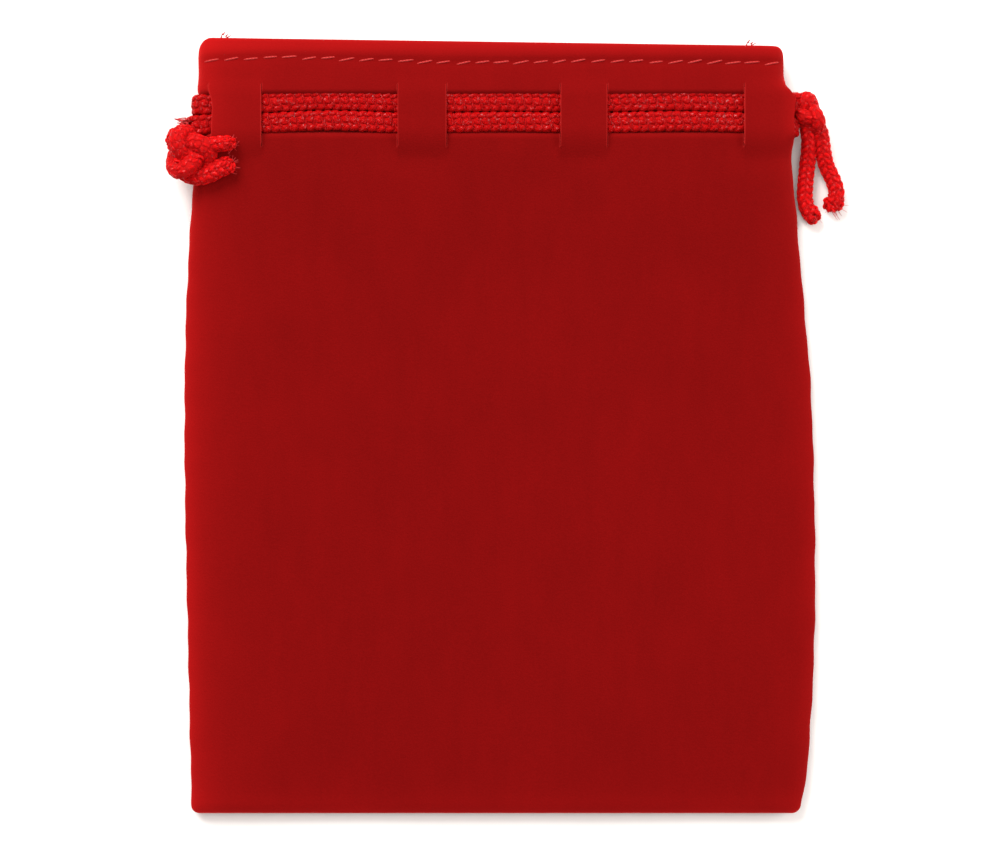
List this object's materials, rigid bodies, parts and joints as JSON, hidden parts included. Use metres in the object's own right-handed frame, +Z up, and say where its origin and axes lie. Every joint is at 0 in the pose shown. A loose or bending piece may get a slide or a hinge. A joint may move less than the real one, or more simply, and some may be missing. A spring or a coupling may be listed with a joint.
{
  "type": "drawstring dice bag",
  "caption": "Flat fabric drawstring pouch; cords run through slits near the mouth, each knotted at its own side, and gather it when pulled.",
  "frame": {"origin": "on the resting face, on the middle line of the empty bag, halfway up it", "axes": "+Z up from the table through the bag, +Y towards the mouth, +X to the right seen from above"},
  "size_m": [0.1127, 0.1281, 0.0078],
  "materials": {
    "velour": "short pile, matt with a soft sheen",
    "drawstring_cord": "knitted satin yarn",
    "sewing_thread": "twisted polyester, slight shine"
  },
  "bodies": {
    "bag": {"front_panel": "velour", "back_panel": "velour", "front_hem_stitching": "sewing_thread", "back_hem_stitching": "sewing_thread", "left_seam_stitching": "sewing_thread", "right_seam_stitching": "sewing_thread", "bottom_seam_stitching": "sewing_thread"},
    "left_cord": {"left_drawstring": "drawstring_cord", "left_knot": "drawstring_cord", "left_upper_tail": "drawstring_cord", "left_lower_tail": "drawstring_cord"},
    "right_cord": {"right_drawstring": "drawstring_cord", "right_knot": "drawstring_cord"},
    "right_inner_end": {"right_inner_tail": "drawstring_cord"},
    "right_outer_end": {"right_outer_tail": "drawstring_cord"}
  },
  "joints": [
    {"name": "left_cord_pull", "type": "slide", "parent": "bag", "child": "left_cord", "axis": [-1, 0, 0], "range_m": [0, 0.025], "deforming": ["front_panel", "front_hem_stitching"]},
    {"name": "right_cord_pull", "type": "slide", "parent": "bag", "child": "right_cord", "axis": [1, 0, 0], "range_m": [0, 0.025], "deforming": ["back_panel", "back_hem_stitching"]},
    {"name": "right_inner_end_lift", "type": "hinge", "parent": "right_cord", "child": "right_inner_end", "pos_m": [0.0507, 0.0475, 0.0038], "axis": [-1, 0, 0], "range_deg": [0, 90]},
    {"name": "right_outer_end_lift", "type": "hinge", "parent": "right_cord", "child": "right_outer_end", "pos_m": [0.0533, 0.0475, 0.0038], "axis": [-1, 0, 0], "range_deg": [0, 90]}
  ]
}
